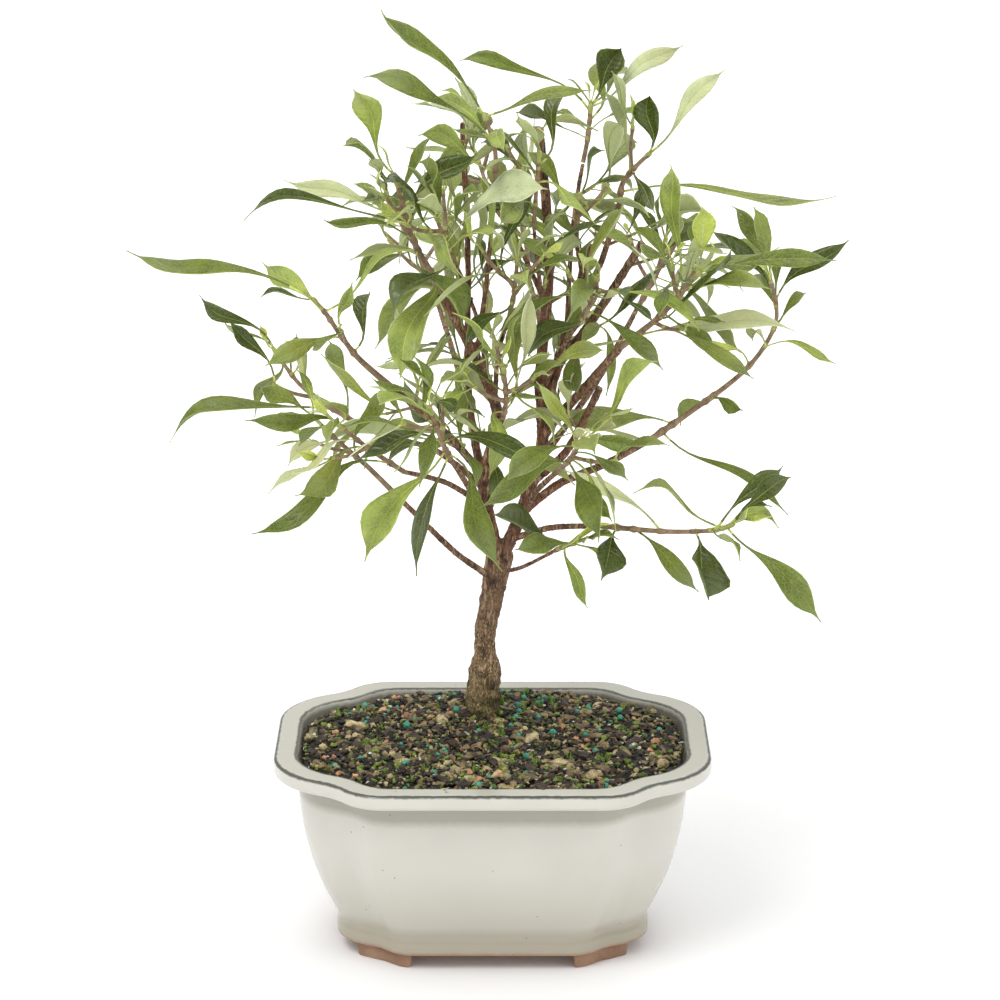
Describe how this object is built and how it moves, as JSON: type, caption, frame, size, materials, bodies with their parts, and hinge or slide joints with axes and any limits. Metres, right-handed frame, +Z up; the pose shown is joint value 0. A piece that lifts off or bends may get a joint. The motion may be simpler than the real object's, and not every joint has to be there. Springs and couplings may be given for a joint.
{
  "type": "gardenia bonsai in a glazed pot",
  "caption": "Small gardenia bonsai tree with one trunk, forked stems and an open leafy crown, in a low glazed clay pot on clay feet.",
  "frame": {"origin": "on the floor under the middle of the pot, at the underside of its feet", "axes": "+Z up, +X to the right along the pot's length, +Y to the back, so the front of the pot faces -Y"},
  "size_m": [0.268, 0.234, 0.363],
  "materials": {
    "pot": "glossy off-white glaze",
    "feet": "bare unglazed clay",
    "soil": "dark loose bonsai soil with bark and grit",
    "bark": "rough brown bark",
    "foliage": "semi-gloss green leaves"
  },
  "bodies": {
    "root": {"pot": "pot", "foot_front_left": "feet", "foot_front_right": "feet", "foot_back_left": "feet", "foot_back_right": "feet", "soil": "soil", "trunk": "bark", "stem_left": "bark", "stem_centre": "bark", "stem_left_tall": "bark", "stem_heel": "bark", "stem_right_cut": "bark", "stem_dark_cut": "bark", "bough_left_low": "bark", "bough_low": "bark", "bough_right_low": "bark", "bough_right_far": "bark", "bough_right": "bark", "bough_upper_right": "bark", "bough_thin_upper": "bark", "bough_left_high": "bark", "bough_left_back": "bark", "bough_left_front": "bark", "bough_top_left": "bark", "bough_inner_left": "bark", "bough_inner_low": "bark", "bough_middle": "bark", "bough_middle_right": "bark", "bough_centre_top": "bark", "bough_inner_right": "bark", "bough_front_left": "bark", "bough_front_right": "bark", "bough_back_left": "bark", "bough_back_right": "bark", "bough_back": "bark", "bough_back_high": "bark", "foliage_left_high": "foliage", "foliage_left_back": "foliage", "foliage_left_front": "foliage", "foliage_left_low": "foliage", "foliage_stem_left": "foliage", "foliage_inner_left": "foliage", "foliage_top_left": "foliage", "foliage_top_right": "foliage", "foliage_right_high": "foliage", "foliage_centre_top": "foliage", "foliage_right": "foliage", "foliage_right_far": "foliage", "foliage_right_low": "foliage", "foliage_low": "foliage", "foliage_front_right": "foliage", "foliage_front_left": "foliage", "foliage_inner_low": "foliage", "foliage_inner_right": "foliage", "foliage_middle": "foliage", "foliage_middle_right": "foliage", "foliage_back_left": "foliage", "foliage_back_right": "foliage", "foliage_back": "foliage", "foliage_back_high": "foliage"}
  },
  "joints": []
}
